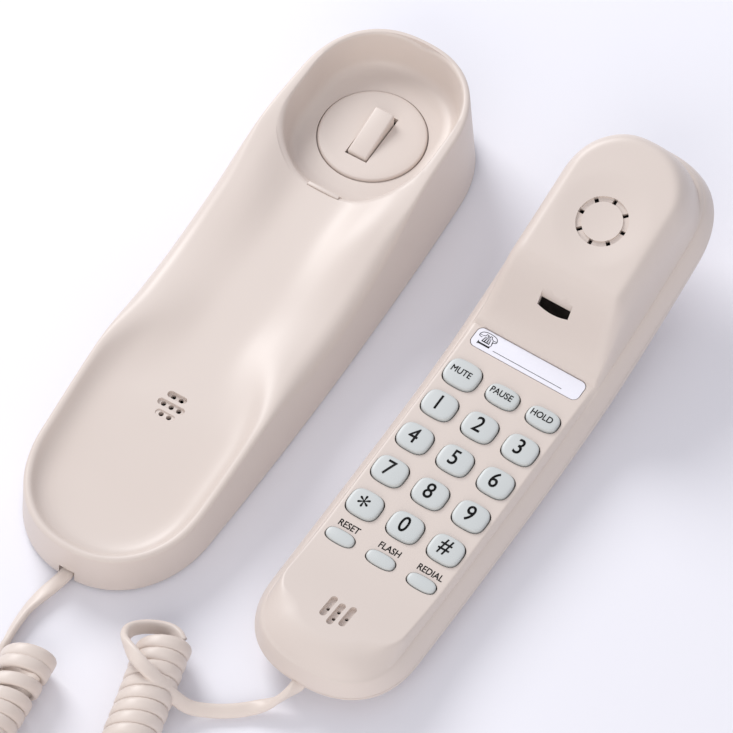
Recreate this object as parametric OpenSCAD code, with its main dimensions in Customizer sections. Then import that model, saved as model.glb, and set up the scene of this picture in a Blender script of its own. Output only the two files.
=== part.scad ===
// One-piece corded telephone lying beside its cradle base.
// Origin: centre of the base's footprint, on the surface it stands on.
// +Y runs along the base to the ear end, +X to the handset, +Z up. Millimetres.

/* [Base] */
// Length of the base at its foot
base_l = 198; // [188:1:210]
// Width of the base at its foot, at mid length
base_w = 61; // [58:1:66]
// Thickness of the moulded walls of the base
base_wall = 2.2; // [1.8:0.1:2.4]
// Diameter of the round plate round the hook button
disc_d = 32.8; // [30:0.2:34]
// How far the hook button goes down
hook_travel = 3.5; // [2:0.5:3.5]

/* [Handset] */
// Length of the handset
hs_l = 197; // [192:1:204]
// Width of the handset at its parting line
hs_w = 49.2; // [48:0.2:52]
// Thickness of the moulded walls of the handset
hs_wall = 2; // [1.6:0.1:2.2]
// Turn of the handset about Z, against the base
hs_yaw = -1.6; // [-3:0.1:0]
// Place of the handset's centre, to the right of the base's centre
hs_x = 79.5; // [78:0.5:90]

/* [Keys] */
// Spacing of the key columns
key_dx = 13.7; // [13.4:0.1:14]
// Spacing of the key rows
key_dy = 13; // [12.6:0.1:13.2]
// How far the key tops stand above the panel
key_proud = 1.3; // [1:0.1:1.8]
// How far a key goes down
key_travel = 1.2; // [0.8:0.1:1.2]

/* [Cord] */
// Width of the flat cord, taken as its diameter
cord_d = 4.2; // [3.6:0.1:4.6]
// Outer diameter of the curly stretch
coil_d = 15.6; // [14:0.2:16]

/* [Hidden] */
$fn = 48;
eps = 0.01;
cream = [0.87, 0.82, 0.79];
key_blue = [0.81, 0.87, 0.87];

// ---- shared functions ----
function mix(a, b, t) = a + (b - a) * t;
function clamp01(t) = min(1, max(0, t));
function smooth(t) = let (c = clamp01(t)) c * c * (3 - 2 * c);
// A height read off a short profile [[y, z], ...], with its corners rounded off
function prof(y, p) = (lookup(y - 5, p) + 2 * lookup(y - 2.5, p) + 3 * lookup(y, p)
    + 2 * lookup(y + 2.5, p) + lookup(y + 5, p)) / 9;

// Right half of a long outline with rounded ends, from its lowest y to its highest.
// yl and yh are the ends, w the width, n the squareness of the ends, bow the drawing-in of the sides.
cap_n = 9;
side_n = 22;
function half_outline(yl, yh, w, n, bow, half_l) =
    let (r = w / 2, y0 = yl + r, y1 = yh - r)
    [for (p = concat(
        [for (i = [0:cap_n]) let (a = 90 * i / cap_n)
            [r * pow(sin(a), 2 / n), y0 - r * pow(cos(a), 2 / n)]],
        [for (i = [1:side_n - 1]) [r, mix(y0, y1, i / side_n)]],
        [for (i = [0:cap_n]) let (a = 90 * i / cap_n)
            [r * pow(cos(a), 2 / n), y1 + r * pow(sin(a), 2 / n)]]))
        [p[0] * (1 - bow * pow(p[1] / half_l, 2)), p[1]]];
half_n = 2 * cap_n + side_n;      // index of the last point of a half outline
ring_n = 2 * half_n;              // points in a whole ring
// A whole ring: right half upwards, then the mirrored half back down
function whole(h) = concat(h, [for (i = [half_n - 1:-1:1]) [-h[i][0], h[i][1]]]);
// A closed solid from rings of ring_n 3-D points, its two ends closed by strips across X
module ringed(rings) {
    k = len(rings);
    points = [for (r = rings) each r];
    function id(r, i) = r * ring_n + (i % ring_n);
    walls = [for (r = [0:k - 2], i = [0:ring_n - 1])
        each [[id(r, i), id(r + 1, i), id(r, i + 1)], [id(r, i + 1), id(r + 1, i), id(r + 1, i + 1)]]];
    function strip(r, flip) = [for (i = [0:half_n - 1])
        let (a = i, b = i + 1, c = (ring_n - i - 1) % ring_n, d = (ring_n - i) % ring_n)
        each (i == 0 ? [[a, b, c]] : i == half_n - 1 ? [[a, b, d]] : [[a, b, c], [a, c, d]])];
    bottom = [for (f = strip(0, 0)) [f[0], f[1], f[2]]];
    top = [for (f = strip(0, 0)) [id(k - 1, f[2]), id(k - 1, f[1]), id(k - 1, f[0])]];
    polyhedron(points, concat(walls, bottom, top), convexity = 8);
}

// A tube through points p, d across, with its two end faces square to its ends
function unit(v) = v / norm(v);
function heading(p, i) = unit(p[min(i + 1, len(p) - 1)] - p[max(i - 1, 0)]);
function curve(p, i, t) = let (n = len(p) - 1, a = p[max(i - 1, 0)], b = p[i], c = p[min(i + 1, n)],
        d = p[min(i + 2, n)])
    0.5 * (2 * b + (c - a) * t + (2 * a - 5 * b + 4 * c - d) * t * t
        + (3 * b - a - 3 * c + d) * t * t * t);
function refine(p, k) = concat(
    [for (i = [0:len(p) - 2], j = [0:k - 1]) curve(p, i, j / k)], [p[len(p) - 1]]);
module tube(p, d, sides) {
    n = len(p);
    rings = [for (i = [0:n - 1]) let (h = heading(p, i), s = unit(cross(h, [0, 0, 1])), u = cross(s, h))
        each [for (j = [0:sides - 1]) let (a = 360 * j / sides) p[i] + d / 2 * (cos(a) * s + sin(a) * u)]];
    faces = [for (i = [0:n - 2], j = [0:sides - 1])
        let (a = i * sides + j, b = i * sides + (j + 1) % sides)
        each [[a, a + sides, b], [b, a + sides, b + sides]]];
    first = [for (j = [0:sides - 1]) j];
    last = [for (j = [sides - 1:-1:0]) (n - 1) * sides + j];
    polyhedron(rings, concat(faces, [first], [last]), convexity = 8);
}
// A plate with round corners, centred on X and Y, standing on z = 0
module plate(x, y, z, r) {
    linear_extrude(z) {
        square([x - 2 * r, y], center = true);
        square([x, y - 2 * r], center = true);
        for (i = [-1, 1], j = [-1, 1]) translate([i * (x / 2 - r), j * (y / 2 - r)]) circle(r);
    }
}
module box(x, y, z) {
    translate([x[0], y[0], z[0]]) cube([x[1] - x[0], y[1] - y[0], z[1] - z[0]]);
}

// ---- base: its profile and shell ----
base_half = base_l / 2;
foot_h = 1;                        // gap under the base's edge, filled by its feet
rim_z = [[-99, 15.4], [-86, 15.8], [-73, 17], [-62, 18.5], [-50, 20.5], [-43, 21.6], [-32, 22.8],
    [-20, 22.6], [-8, 21.9], [3, 21.9], [14, 23.8], [26, 26.8], [38, 30], [46, 32], [54, 33], [99, 33]];
trough_z = [[-99, 10.4], [-86, 10.8], [-74, 12], [-62, 14.2], [-45, 17.3], [-22, 19.3], [0, 20.8],
    [20, 22.8], [40, 25.2], [60, 27], [99, 27]];
draft = 0.075;                     // inward lean of the walls
function rim(y) = prof(y, rim_z);
function trough(y) = prof(y, trough_z);
// 1 where the trough has a standing rim, 0 where its edge fades into the side
function walled(y) = y < 0 ? smooth((-12 - y) / 30) : smooth((y - 26) / 24);
// Ceiling of the hollow inside the base
ceiling_z = [[-99, 8.2], [-86, 8.6], [-74, 9.8], [-62, 12], [-45, 15.1], [-22, 17.1],
    [0, 18.6], [20, 18.6],
    [36, 17.3], [99, 17.3]];
// Each ring: inset past the rim's outer edge with and without a standing rim, then the share of the depth
basin = [[2.4, 5.5, 1, 0.93], [3.2, 8, 0.62, 0.75], [4.6, 11, 0.27, 0.5], [7, 15, 0.08, 0.22],
    [11, 19, 0.02, 0.07], [17, 23, 0, 0], [23, 26.5, 0, 0]];
function base_ring(d, t) = whole(half_outline(-base_half + d + t, base_half - d - t,
    base_w - 2 * (d + t), 2.45, 0.115, base_half));
module base_solid(t, z0) {
    function lip(y) = mix(4, 1.2, walled(y));
    // insets follow the height of the rim, so each point of a ring gets its own
    function place(outline, f) = [for (p = outline)
        let (in = f(p[1])[0], y = p[1] * (1 - in / (base_half - t)), z = f(y)[1])
        [p[0] * (1 - in / (base_w / 2 - t)), y,
            t == 0 ? z : min(z - t, prof(y, ceiling_z) + 6 * (1 - walled(y)))]];
    o = base_ring(0, t);
    rings = concat(
        [[for (p = o) [p[0], p[1], z0]]],
        [place(o, function (y) [draft * (rim(y) - lip(y)), rim(y) - lip(y)])],
        [place(o, function (y) [draft * rim(y) + 0.3 * lip(y), rim(y) - 0.3 * lip(y)])],
        [place(o, function (y) [draft * rim(y) + lip(y), rim(y)])],
        [for (b = basin) place(o, function (y) let (w = walled(y)) [
            draft * rim(y) + mix(b[1], b[0], w), mix(trough(y), rim(y), mix(b[3], b[2], w))])]);
    ringed(rings);
}

// ---- base: the ear-end well and what sits in it ----
well_y = [39.6, 93.8];             // ends of the well
well_w = 47;
well_floor = 19.5;
disc_y = 66.5;
disc_z = [18, 20.3];
hook_w = 6.7;
hook_y = [57.5, 73.8];             // ends of the hook button
hook_z = [20.8, 24.3];             // height of its top at those ends
hook_flange_z = [14.5, 17.7];
pivot_y = 56.6;
pivot_z = 16.1;
pivot_r = 0.75;
tab_w = 10.5;
tab_t = 1.5;
tab_y = 39.1;
tab_z = [14, 25.9];
module well_prism(grow, z) {
    h = half_outline(well_y[0] - grow, well_y[1] + grow, well_w + 2 * grow, 2.5, 0.02, base_half);
    translate([0, 0, z]) linear_extrude(60) polygon(whole(h));
}
ringer_y = -43.4;
ringer_rows = [[3.3, [-1.3, 1.3]], [0, [-2.6, 0, 2.6]], [-3.3, [-1.3, 1.3]]];
// A short slot with round ends along X
module slot_x(len, w, h) {
    translate([-(len - w) / 2, -w / 2, 0]) cube([len - w, w, h]);
    for (i = [-1, 1]) translate([i * (len - w) / 2, 0, 0]) cylinder(h = h, d = w);
}
base_posts = [[19, 56], [-19, 56], [19, -60], [-19, -60]];
post_top = [18, 18, 12.8, 12.8];
screw_r = 1.15;
jack_z = [3, 14.4];
module base_shell() {
    color(cream) difference() {
        union() {
            difference() {
                base_solid(0, foot_h);
                difference() {
                    base_solid(base_wall, -1);
                    well_prism(base_wall, well_floor - base_wall);
                }
            }
            for (i = [0:3]) translate([base_posts[i][0], base_posts[i][1], 3])
                cylinder(h = post_top[i] - 3, r = 3);
        }
        well_prism(0, well_floor);
        translate([0, disc_y, disc_z[0]]) cylinder(h = 20, d = disc_d + 0.5);
        translate([0, disc_y, 10]) cylinder(h = 20, r = 14.2);
        box([-tab_w / 2 - 0.2, tab_w / 2 + 0.2], [tab_y - tab_t / 2 - 0.2, well_y[0] + 1], [12, 60]);
        translate([0, ringer_y, 0]) for (row = ringer_rows) translate([0, row[0], 0]) {
            translate([0, 0, 16.9]) slot_x(len(row[1]) * 2.6 + 1.4, 2.3, 10);
            for (x = row[1]) translate([x, 0, 10]) cylinder(h = 20, r = 0.85, $fn = 24);
        }
        box([-2.7, 2.7], [-base_half - 1, -94], [-1, 5.4]);
        box([-6.9, 6.9], [94, base_half + 1], [jack_z[0] - 0.2, jack_z[1] + 0.2]);
        for (p = base_posts) translate([p[0], p[1], 2]) cylinder(h = 8.5, r = screw_r + 0.03);
    }
}

// ---- base: bottom plate, feet, screws ----
keyhole_y = [42, -42];             // wall-screw keyholes, 84 apart
keyhole_r = 4.5;
foot_places = [[22, 72], [-22, 72], [21, -74], [-21, -74], [0, 0]];
board_posts = [[17, 14], [-17, 14], [17, 80], [-17, 80]];
module base_plate() {
    color([0.84, 0.79, 0.75]) difference() {
        union() {
            translate([0, 0, foot_h]) linear_extrude(2) polygon(whole(half_outline(-base_half + 3,
                base_half - 3, base_w - 6, 2.45, 0.115, base_half)));
            for (p = board_posts) translate([p[0], p[1], 2.9]) cylinder(h = 3.1, r = 2.5);
        }
        for (y = keyhole_y) {
            translate([0, y, 0]) cylinder(h = 4, r = keyhole_r);
            translate([0, y + 3, 0]) slot_y(10, 4.2, 4);
        }
        for (p = base_posts) translate([p[0], p[1], 0]) {
            cylinder(h = 4, r = screw_r + 0.2);
            cylinder(h = 2.1, r = 2.8);
        }
        for (p = foot_places) translate([p[0], p[1], -1]) cylinder(h = 2.6, r = 4.2);
        box([-2.7, 2.7], [-base_half, -88], [-1, 4]);
    }
}
// A slot with round ends along Y, from the centre upwards
module slot_y(len, w, h) {
    translate([-w / 2, 0, 0]) cube([w, len - w / 2, h]);
    translate([0, len - w / 2, 0]) cylinder(h = h, d = w);
}
module rubber_feet() {
    color([0.25, 0.25, 0.26]) for (p = foot_places) translate([p[0], p[1], 0]) {
        cylinder(h = 0.4, r1 = 3.6, r2 = 4);
        translate([0, 0, 0.4]) cylinder(h = 1.2, r = 4);
    }
}
module base_screws() {
    color([0.75, 0.76, 0.78]) for (p = base_posts) translate([p[0], p[1], 0]) difference() {
        union() {
            translate([0, 0, 1.2]) cylinder(h = 0.9, r = 2.5);
            translate([0, 0, 2]) cylinder(h = 7.6, r = screw_r);
        }
        box([-1.7, 1.7], [-0.3, 0.3], [0.5, 1.7]);
        box([-0.3, 0.3], [-1.7, 1.7], [0.5, 1.7]);
    }
}

// ---- base: hook ----
module hook_disc() {
    color(cream) translate([0, disc_y, 0]) difference() {
        union() {
            translate([0, 0, disc_z[0]]) cylinder(h = 1.8, d = disc_d);
            translate([0, 0, disc_z[0] + 1.8])
                cylinder(h = disc_z[1] - disc_z[0] - 1.8, d1 = disc_d, d2 = disc_d - 1);
        }
        box([-hook_w / 2 - 0.5, hook_w / 2 + 0.5],
            [hook_y[0] - disc_y - 0.6, hook_y[1] - disc_y + 1.6], [10, 30]);
    }
    // legs that carry the hook's pivots
    color(cream) difference() {
        for (i = [-1, 1])
            box([i * 6.7 - 0.9, i * 6.7 + 0.9], [pivot_y - 1.5, pivot_y + 1.5],
    [14.6, disc_z[0] + 0.1]);
        translate([-10, pivot_y, pivot_z]) rotate([0, 90, 0]) cylinder(h = 20, r = pivot_r + 0.05);
    }
}
module hook_button() {
    color(cream) {
        translate([-hook_w / 2, 0, 0]) rotate([90, 0, 90]) linear_extrude(hook_w) polygon([
            [hook_y[0], hook_flange_z[0]], [hook_y[1], hook_flange_z[0]], [hook_y[1], hook_z[1] - 0.8],
            [hook_y[1] - 0.8, hook_z[1]], [hook_y[0] + 0.6, hook_z[0] + 0.2],
    [hook_y[0], hook_z[0] - 0.6]]);
        box([-5.4, 5.4], [hook_y[0] - 1.6, hook_y[1] + 3.2], hook_flange_z);
        translate([-7.6, pivot_y, pivot_z]) rotate([0, 90, 0]) cylinder(h = 15.2, r = pivot_r);
    }
}
spring_y = 70.5;
spring_z = [7.6, 14.5];
module hook_spring() {
    turns = 5;
    steps = 60;
    r = 2.3;
    wire = 0.5;
    color([0.7, 0.7, 0.72]) translate([0, spring_y, 0]) tube([for (i = [0:steps])
        let (a = 360 * turns * i / steps)
        [r * cos(a), r * sin(a),
            mix(spring_z[0] + wire / 2 + 0.05, spring_z[1] - wire / 2 - 0.05, i / steps)]],
        wire, 6);
}
module hook_switch() {
    color([0.16, 0.16, 0.17]) {
        box([-3, 3], [58, 66], [7.6, 10]);
        translate([0, 62, 9.9]) cylinder(h = 1, r = 1);
    }
}
module base_pcb() {
    color([0.12, 0.36, 0.2]) difference() {
        box([-20, 20], [10, 84], [6, 7.6]);
        for (y = keyhole_y) translate([0, y + 3, 5]) cylinder(h = 4, r = 6.5);
        for (i = [-1, 1]) translate([i * 19, 56, 5]) cylinder(h = 4, r = 3.6);
    }
}
module ringer() {
    color([0.15, 0.15, 0.16]) translate([0, ringer_y, 10.2]) difference() {
        cylinder(h = 3.3, r = 8.6);
        translate([0, 0, 1.8]) cylinder(h = 3, r = 1.5);
    }
}
module ballast_plate() {
    color([0.45, 0.46, 0.48]) difference() {
        box([-14, 14], [-84, -26], [3, 6.2]);
        translate([0, keyhole_y[1] + 3, 2]) cylinder(h = 6, r = 6.5);
    }
}
module line_jack() {
    color([0.2, 0.2, 0.21]) difference() {
        box([-6.6, 6.6], [84.6, 97.7], jack_z);
        box([-4.9, 4.9], [87, 99], [5.4, 11.6]);
        box([-3, 3], [87, 99], [4.2, 5.5]);
    }
}
module jack_contacts() {
    color([0.83, 0.68, 0.3]) for (i = [-1.5:1:1.5]) translate([i * 1.27, 0, 0]) {
        box([-0.22, 0.22], [88, 88.45], [7.4, 11.6]);
        box([-0.22, 0.22], [88, 93.5], [7.4, 7.85]);
    }
}
module wall_tab() {
    color(cream) {
        box([-tab_w / 2, tab_w / 2], [tab_y - tab_t / 2, tab_y + tab_t / 2], [17, tab_z[1]]);
        box([-tab_w / 2 + 1.5, tab_w / 2 - 1.5], [tab_y - tab_t / 2, tab_y + tab_t / 2],
    [tab_z[0], 17.1]);
    }
}
module cord_clamp_base() {
    color([0.8, 0.76, 0.72]) {
        box([-2.5, 2.5], [-95, -89], [1, 3.2]);
        box([-5, 5], [-95, -89], [3, 7.8]);
    }
}

// ---- handset: its frame and profiles ----
hs_y = 1.5;
module on_handset() {
    translate([hs_x, hs_y, 0]) rotate([0, 0, hs_yaw]) children();
}
hs_half = hs_l / 2;
part_z = [[-98.5, 9.5], [-75, 9], [-50, 8.6], [-20, 8.8], [0, 9.5], [20, 11.7], [40, 16], [58, 21],
    [75, 26.5], [90, 30.5], [98.5, 32.2]];
back_z = [[-98.5, 6.5], [-90, 3], [-75, 0.9], [-58, 0], [18, 0], [30, 1.2], [45, 4.2], [60, 9],
    [75, 15], [88, 21.5], [98.5, 28]];
panel_z = [[-98, 20.6], [-87, 20.3], [-79, 19.6], [-70, 18.1], [-62, 16.8], [-50, 16.5],
    [24, 18.9], [45, 26],
    [60, 31], [98, 42]];
function parting(s) = prof(s, part_z);
function back(s) = max(0, prof(s, back_z));
// Ear pad: a raised island with a soft foot and a round dish, its plane leaning towards the mouth end
pad_tilt = 16.3;
pad_s = 59.5;
pad_z = 45.2;
pad_mid = 62;
dish_r = 14;
dish_h = 1.2;
function oval(x, s, a, near, far) = let (b = s < pad_mid ? near : far)
    pow(pow(abs(x) / a, 3.2) + pow(abs(s - pad_mid) / b, 3.2), 1 / 3.2);
function pad_mask(x, s) = let (i = oval(x, s, 18, 21, 19), o = oval(x, s, 22.6, 37, 30))
    i <= 1 ? 1 : o >= 1 ? 0 : smooth((1 - o) / (1 - o + i - 1));
function pad_top(x, s) = let (r = norm([x, s - pad_s]) / dish_r)
    pad_z + (s - pad_s) * tan(pad_tilt) - (r < 1 ? dish_h * pow(1 - r * r, 2) : 0);
function edge_z(s) = parting(s) + 5.6;
function crown(x, s) = let (b = s > 24 ? min(prof(s, panel_z), edge_z(s) + 2) : prof(s, panel_z))
    mix(b, pad_top(x, s), pad_mask(x, s));
// Each ring of the front shell: inset at the sides, at the mouth end, at the ear end, then the height
// between the parting line (0), the band's edge (1) and the crown (2)
front_rings = [[0, 0, 0, 0], [1.4, 1.2, 1.4, 0.5], [2.9, 2.3, 3, 1], [3.6, 4.2, 3.7, 1.35],
    [4.3, 7, 4.5, 1.7], [5.4, 10.5, 5.8, 1.95], [7.5, 14, 8, 2], [10, 18, 11, 2],
    [13.5, 23, 15, 2], [17.5, 28, 20, 2],
    [21.5, 33, 25, 2]];
module front_solid(t, drop) {
    ringed(concat([for (r = front_rings) [for (p = whole(half_outline(-hs_half + r[1] + t,
            hs_half - r[2] - t, hs_w - 2 * (r[0] + t), 2.4, 0.01, hs_half)))
        let (z = r[3] <= 1 ? mix(parting(p[1]), edge_z(p[1]), r[3])
            : mix(edge_z(p[1]), crown(p[0], p[1]), r[3] - 1))
        [p[0], p[1], r[3] == 0 ? z - drop : z - t]]]));
}
back_rings = [0, 0.5, 1.6, 3.5, 6.5, 10.5, 15, 19.5, 23];
function belly(d) = pow(1 - pow(1 - d / (hs_w / 2), 2.8), 1 / 2.8);
module back_solid(t, lift) {
    n = len(back_rings);
    ringed([for (i = [n - 1:-1:0]) let (d = back_rings[i]) [for (p = whole(half_outline(-hs_half + d + t,
            hs_half - d - t, hs_w - 2 * (d + t) * (d < 20 ? 1 : 0.995), 2.4, 0.01, hs_half)))
        [p[0], p[1], i == 0 ? parting(p[1]) - 0.12 + lift : mix(parting(p[1]), back(p[1]), belly(d)) + t]]]);
}

// ---- handset: panel, keys and what they sit in ----
panel_tilt = 1.8;
panel_s = -30.8;
panel_h = 17.1;
// Children are placed on the key panel: x across, y along from the middle of the 8 key, z up from its face
module on_panel(x, y) {
    translate([0, panel_s, panel_h]) rotate([panel_tilt, 0, 0]) translate([x, y, 0]) children();
}
module on_pad() {
    translate([0, pad_s, pad_z - dish_h]) rotate([pad_tilt, 0, 0]) children();
}
mic_s = -78.6;
module on_mic() {
    translate([0, mic_s, 19.4]) rotate([-7, 0, 0]) children();
}
dial = [10.1, 8.6, 3.8];           // length, width and corner radius of a dial key
pill = [8.9, 4.3, 2.1];
wide = [10, 6.5, 3];
mute = [10.7, 8.9, 3.9];
rows_y = [-2 * key_dy + 0.3, -key_dy, 0, key_dy, 2 * key_dy, 3 * key_dy - 0.9];
row_size = [pill, dial, dial, dial, dial, wide];
function key_size(col, row) = row == 5 && col < 0 ? mute : row_size[row];
module key_hole(col, row) {
    k = key_size(col, row);
    on_panel(col * key_dx, rows_y[row]) translate([0, 0, -6]) plate(k[0] + 0.7, k[1] + 0.7, 14, k[2] + 0.3);
}
module key(col, row) {
    k = key_size(col, row);
    color(key_blue) on_handset() on_panel(col * key_dx, rows_y[row]) {
        translate([0, 0, -3.2]) plate(k[0], k[1], 2.9 + key_proud - 0.3, k[2]);
        translate([0, 0, key_proud - 0.61]) plate(k[0] - 0.7, k[1] - 0.7, 0.61, k[2] - 0.35);
        translate([-0.5 * col, 0, -3.4]) plate(k[0] + (col == 0 ? 1.4 : 0.6), min(k[1] + 1.4, 10.4),
            0.9, min(k[2] + 0.5, 4.5));
    }
}
screw_places = [[16.5, -70], [-16.5, -70], [16, 31], [-16, 31]];
screw_head_z = [3.2, 3.2, 5.4, 5.4];
card = [36.6, 6.7, 2];
card_y = 51.7;                     // from the 8 key to the middle of the card
slot_s = 34.7;
module handset_front() {
    color(cream) on_handset() difference() {
        union() {
            difference() {
                front_solid(0, 0);
                front_solid(hs_wall, hs_wall + 3);
            }
            for (i = [0:3]) let (p = screw_places[i]) translate([p[0], p[1], i < 2 ? 8 : 14])
                cylinder(h = i < 2 ? 7.6 : 6, r = 2.4);
        }
        for (row = [0:5], col = [-1:1]) key_hole(col, row);
        on_panel(0, card_y) translate([0, 0, -1.1]) plate(card[0] + 0.3, card[1] + 0.3, 8, card[2]);
        box([-5.15, 5.15], [slot_s - 1.9, slot_s + 1.9], [18, 60]);
        on_pad() {
            difference() {
                translate([0, 0, -0.5]) cylinder(h = 5, r = 7.7);
                translate([0, 0, -1]) cylinder(h = 6, r = 6.1);
            }
            for (i = [0:7]) rotate(45 * i) box([-0.8, 0.8], [6, 7.7], [-6, 5]);
        }
        on_mic() for (i = [-1:1]) translate([i * 3.1, (i == 0) ? -0.8 : 0.4, 0]) {
            translate([0, 0, -0.8]) rotate(90) slot_x(7.6, 1.9, 5);
            for (j = (i == 0 ? [-1, 1] : [0])) translate([0, 1.3 * j - 0.3, -6])
                cylinder(h = 8, r = 0.55, $fn = 16);
        }
        for (i = [0:3]) translate([screw_places[i][0], screw_places[i][1], 2])
            cylinder(h = i < 2 ? 11 : 16, r = 1.12);
        translate([0, -hs_half - 1, 7.9]) rotate([-90, 0, 0]) cylinder(h = 8, r = 2.5);
    }
}
module handset_back() {
    color(cream) on_handset() difference() {
        union() {
            difference() {
                back_solid(0, 0);
                back_solid(hs_wall, hs_wall + 2);
            }
            for (i = [0:3]) let (p = screw_places[i]) translate([p[0], p[1], i < 2 ? 2 : 3.9])
                cylinder(h = i < 2 ? 4 : 6, r = 3.2);
        }
        for (i = [0:3]) let (p = screw_places[i]) translate([p[0], p[1], -2]) {
            cylinder(h = 20, r = 1.3);
            cylinder(h = screw_head_z[i] + 2, r = 2.6);
        }
        translate([0, -hs_half - 1, 7.9]) rotate([-90, 0, 0]) cylinder(h = 8, r = 2.5);
    }
}
module handset_screws() {
    color([0.75, 0.76, 0.78]) on_handset() for (i = [0:3]) let (p = screw_places[i], z = screw_head_z[i])
        translate([p[0], p[1], 0]) difference() {
            union() {
                translate([0, 0, z - 1]) cylinder(h = 1, r = 2.3);
                translate([0, 0, z - 0.1]) cylinder(h = i < 2 ? 9 : 12, r = 1.1);
            }
            box([-1.5, 1.5], [-0.3, 0.3], [z - 2, z - 0.5]);
            box([-0.3, 0.3], [-1.5, 1.5], [z - 2, z - 0.5]);
        }
}
module keypad_mat() {
    color([0.55, 0.56, 0.58]) on_handset() {
        on_panel(0, 6) translate([0, 0, -5.9]) plate(37, 73, 0.9, 3);
        for (row = [0:5], col = [-1:1]) on_panel(col * key_dx, rows_y[row])
            translate([0, 0, -5.1]) cylinder(h = 0.45, r1 = 2.1, r2 = 1.6);
    }
}
module handset_pcb() {
    color([0.12, 0.36, 0.2]) on_handset() on_panel(0, 6) translate([0, 0, -7.5]) plate(37.6, 75, 1.6, 1);
}
module number_card() {
    color([0.95, 0.95, 0.95]) on_handset() on_panel(0, card_y) translate([0, 0, -1.1])
        plate(card[0] - 0.3, card[1] - 0.3, 0.25, card[2] - 0.2);
}
module card_window() {
    color([0.9, 0.93, 0.95, 0.4]) on_handset() on_panel(0, card_y) translate([0, 0, -0.84])
        plate(card[0], card[1], 0.8, card[2] - 0.15);
}
module receiver_gasket() {
    color([0.12, 0.12, 0.13]) on_handset() on_pad() translate([0, 0, -3.4]) difference() {
        cylinder(h = 1, r = 13);
        translate([0, 0, -1]) cylinder(h = 4, r = 9);
    }
}
module receiver() {
    color([0.3, 0.3, 0.32]) on_handset() on_pad() {
        translate([0, 0, -6.4]) cylinder(h = 3, r = 13.4);
        translate([0, 0, -11.5]) cylinder(h = 5.2, r = 9);
    }
}
module microphone() {
    color([0.7, 0.7, 0.72]) on_handset() on_mic() translate([0, 0, -8.6]) cylinder(h = 5.6, r = 4.85);
}
module mic_boot() {
    color([0.12, 0.12, 0.13]) on_handset() on_mic() translate([0, 0, -9.2]) difference() {
        cylinder(h = 6.6, r = 6);
        translate([0, 0, 0.6]) cylinder(h = 5.6, r = 4.85);
        translate([0, 0, 6]) cylinder(h = 2, r = 3.6);
    }
}
lead_route = [[3, 38, 15], [3.4, 34, 15.6], [3.6, 30, 15], [3, 24, 13.4], [2, 18, 11.8]];
module receiver_leads() {
    on_handset() for (i = [0, 1]) color(i == 0 ? [0.7, 0.08, 0.08] : [0.1, 0.1, 0.1])
        translate([i * -2.2, 0, 0]) tube(refine(lead_route, 3), 1.1, 8);
}
module cord_clamp_handset() {
    color([0.8, 0.76, 0.72]) on_handset() box([-3.6, 3.6], [-90, -86], [7, 11.4]);
}

// ---- cord: flat curly cord from the base to the handset ----
base_lead_route = [[0, -95.5, 3.1], [0, -100, 3.1], [-1, -105, 2.7], [-2, -110, 2.3], [-3, -116, 2.2],
    [-2.5, -121, 2.6], [-0.8, -124.4, 3.8], [1.6, -126.8, 5.2]];
coil_route = [[8, -128.5, 7.8], [9, -137, 7.8], [10, -147, 7.8], [11, -158, 7.8], [13, -169, 7.8],
    [17, -180, 7.8], [24, -188, 7.8], [33, -191, 7.8], [42, -189, 7.8], [49, -182, 7.8],
    [52, -171, 7.8], [51, -160, 7.8],
    [49, -148, 7.8], [46, -136, 7.8], [43, -124, 7.8], [40, -113, 7.8], [38, -105, 7.8]];
handset_lead_route = [[76.6, -97.7, 7.9], [76, -100.5, 7], [73.5, -103.5, 4.2], [70, -106.5, 2.4],
    [65.5, -110, 2.2], [60, -113.5, 2.2], [54.6, -116, 2.8], [50.2, -117, 4.2]];
module cord_base_lead() {
    color(cream) tube(refine(base_lead_route, 2), cord_d, 8);
}
module cord_coil() {
    color(cream) tube(refine(coil_route, 2), coil_d, 12);
}
module cord_handset_lead() {
    color(cream) tube(refine(handset_lead_route, 2), cord_d, 8);
}

base_shell();
base_plate();
rubber_feet();
base_screws();
hook_disc();
hook_button();
hook_spring();
hook_switch();
base_pcb();
ringer();
ballast_plate();
line_jack();
jack_contacts();
wall_tab();
cord_clamp_base();
handset_front();
handset_back();
handset_screws();
keypad_mat();
handset_pcb();
number_card();
card_window();
receiver_gasket();
receiver();
microphone();
mic_boot();
receiver_leads();
cord_clamp_handset();
key(-1, 4);  // key_1
key(0, 4);  // key_2
key(1, 4);  // key_3
key(-1, 3);  // key_4
key(0, 3);  // key_5
key(1, 3);  // key_6
key(-1, 2);  // key_7
key(0, 2);  // key_8
key(1, 2);  // key_9
key(-1, 1);  // key_star
key(0, 1);  // key_0
key(1, 1);  // key_hash
key(-1, 5);  // key_mute
key(0, 5);  // key_pause
key(1, 5);  // key_hold
key(-1, 0);  // key_reset
key(0, 0);  // key_flash
key(1, 0);  // key_redial
cord_base_lead();
cord_coil();
cord_handset_lead();
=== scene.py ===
# One-piece corded telephone: the handset lies face up beside its cradle base,
# and a flat curly cord runs from the base's foot to the handset's mouth end.
# The frame is in metres. The sections give their sizes in millimetres.
import math

import bmesh
import bpy
import numpy as np
from mathutils import Matrix, Vector


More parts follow.
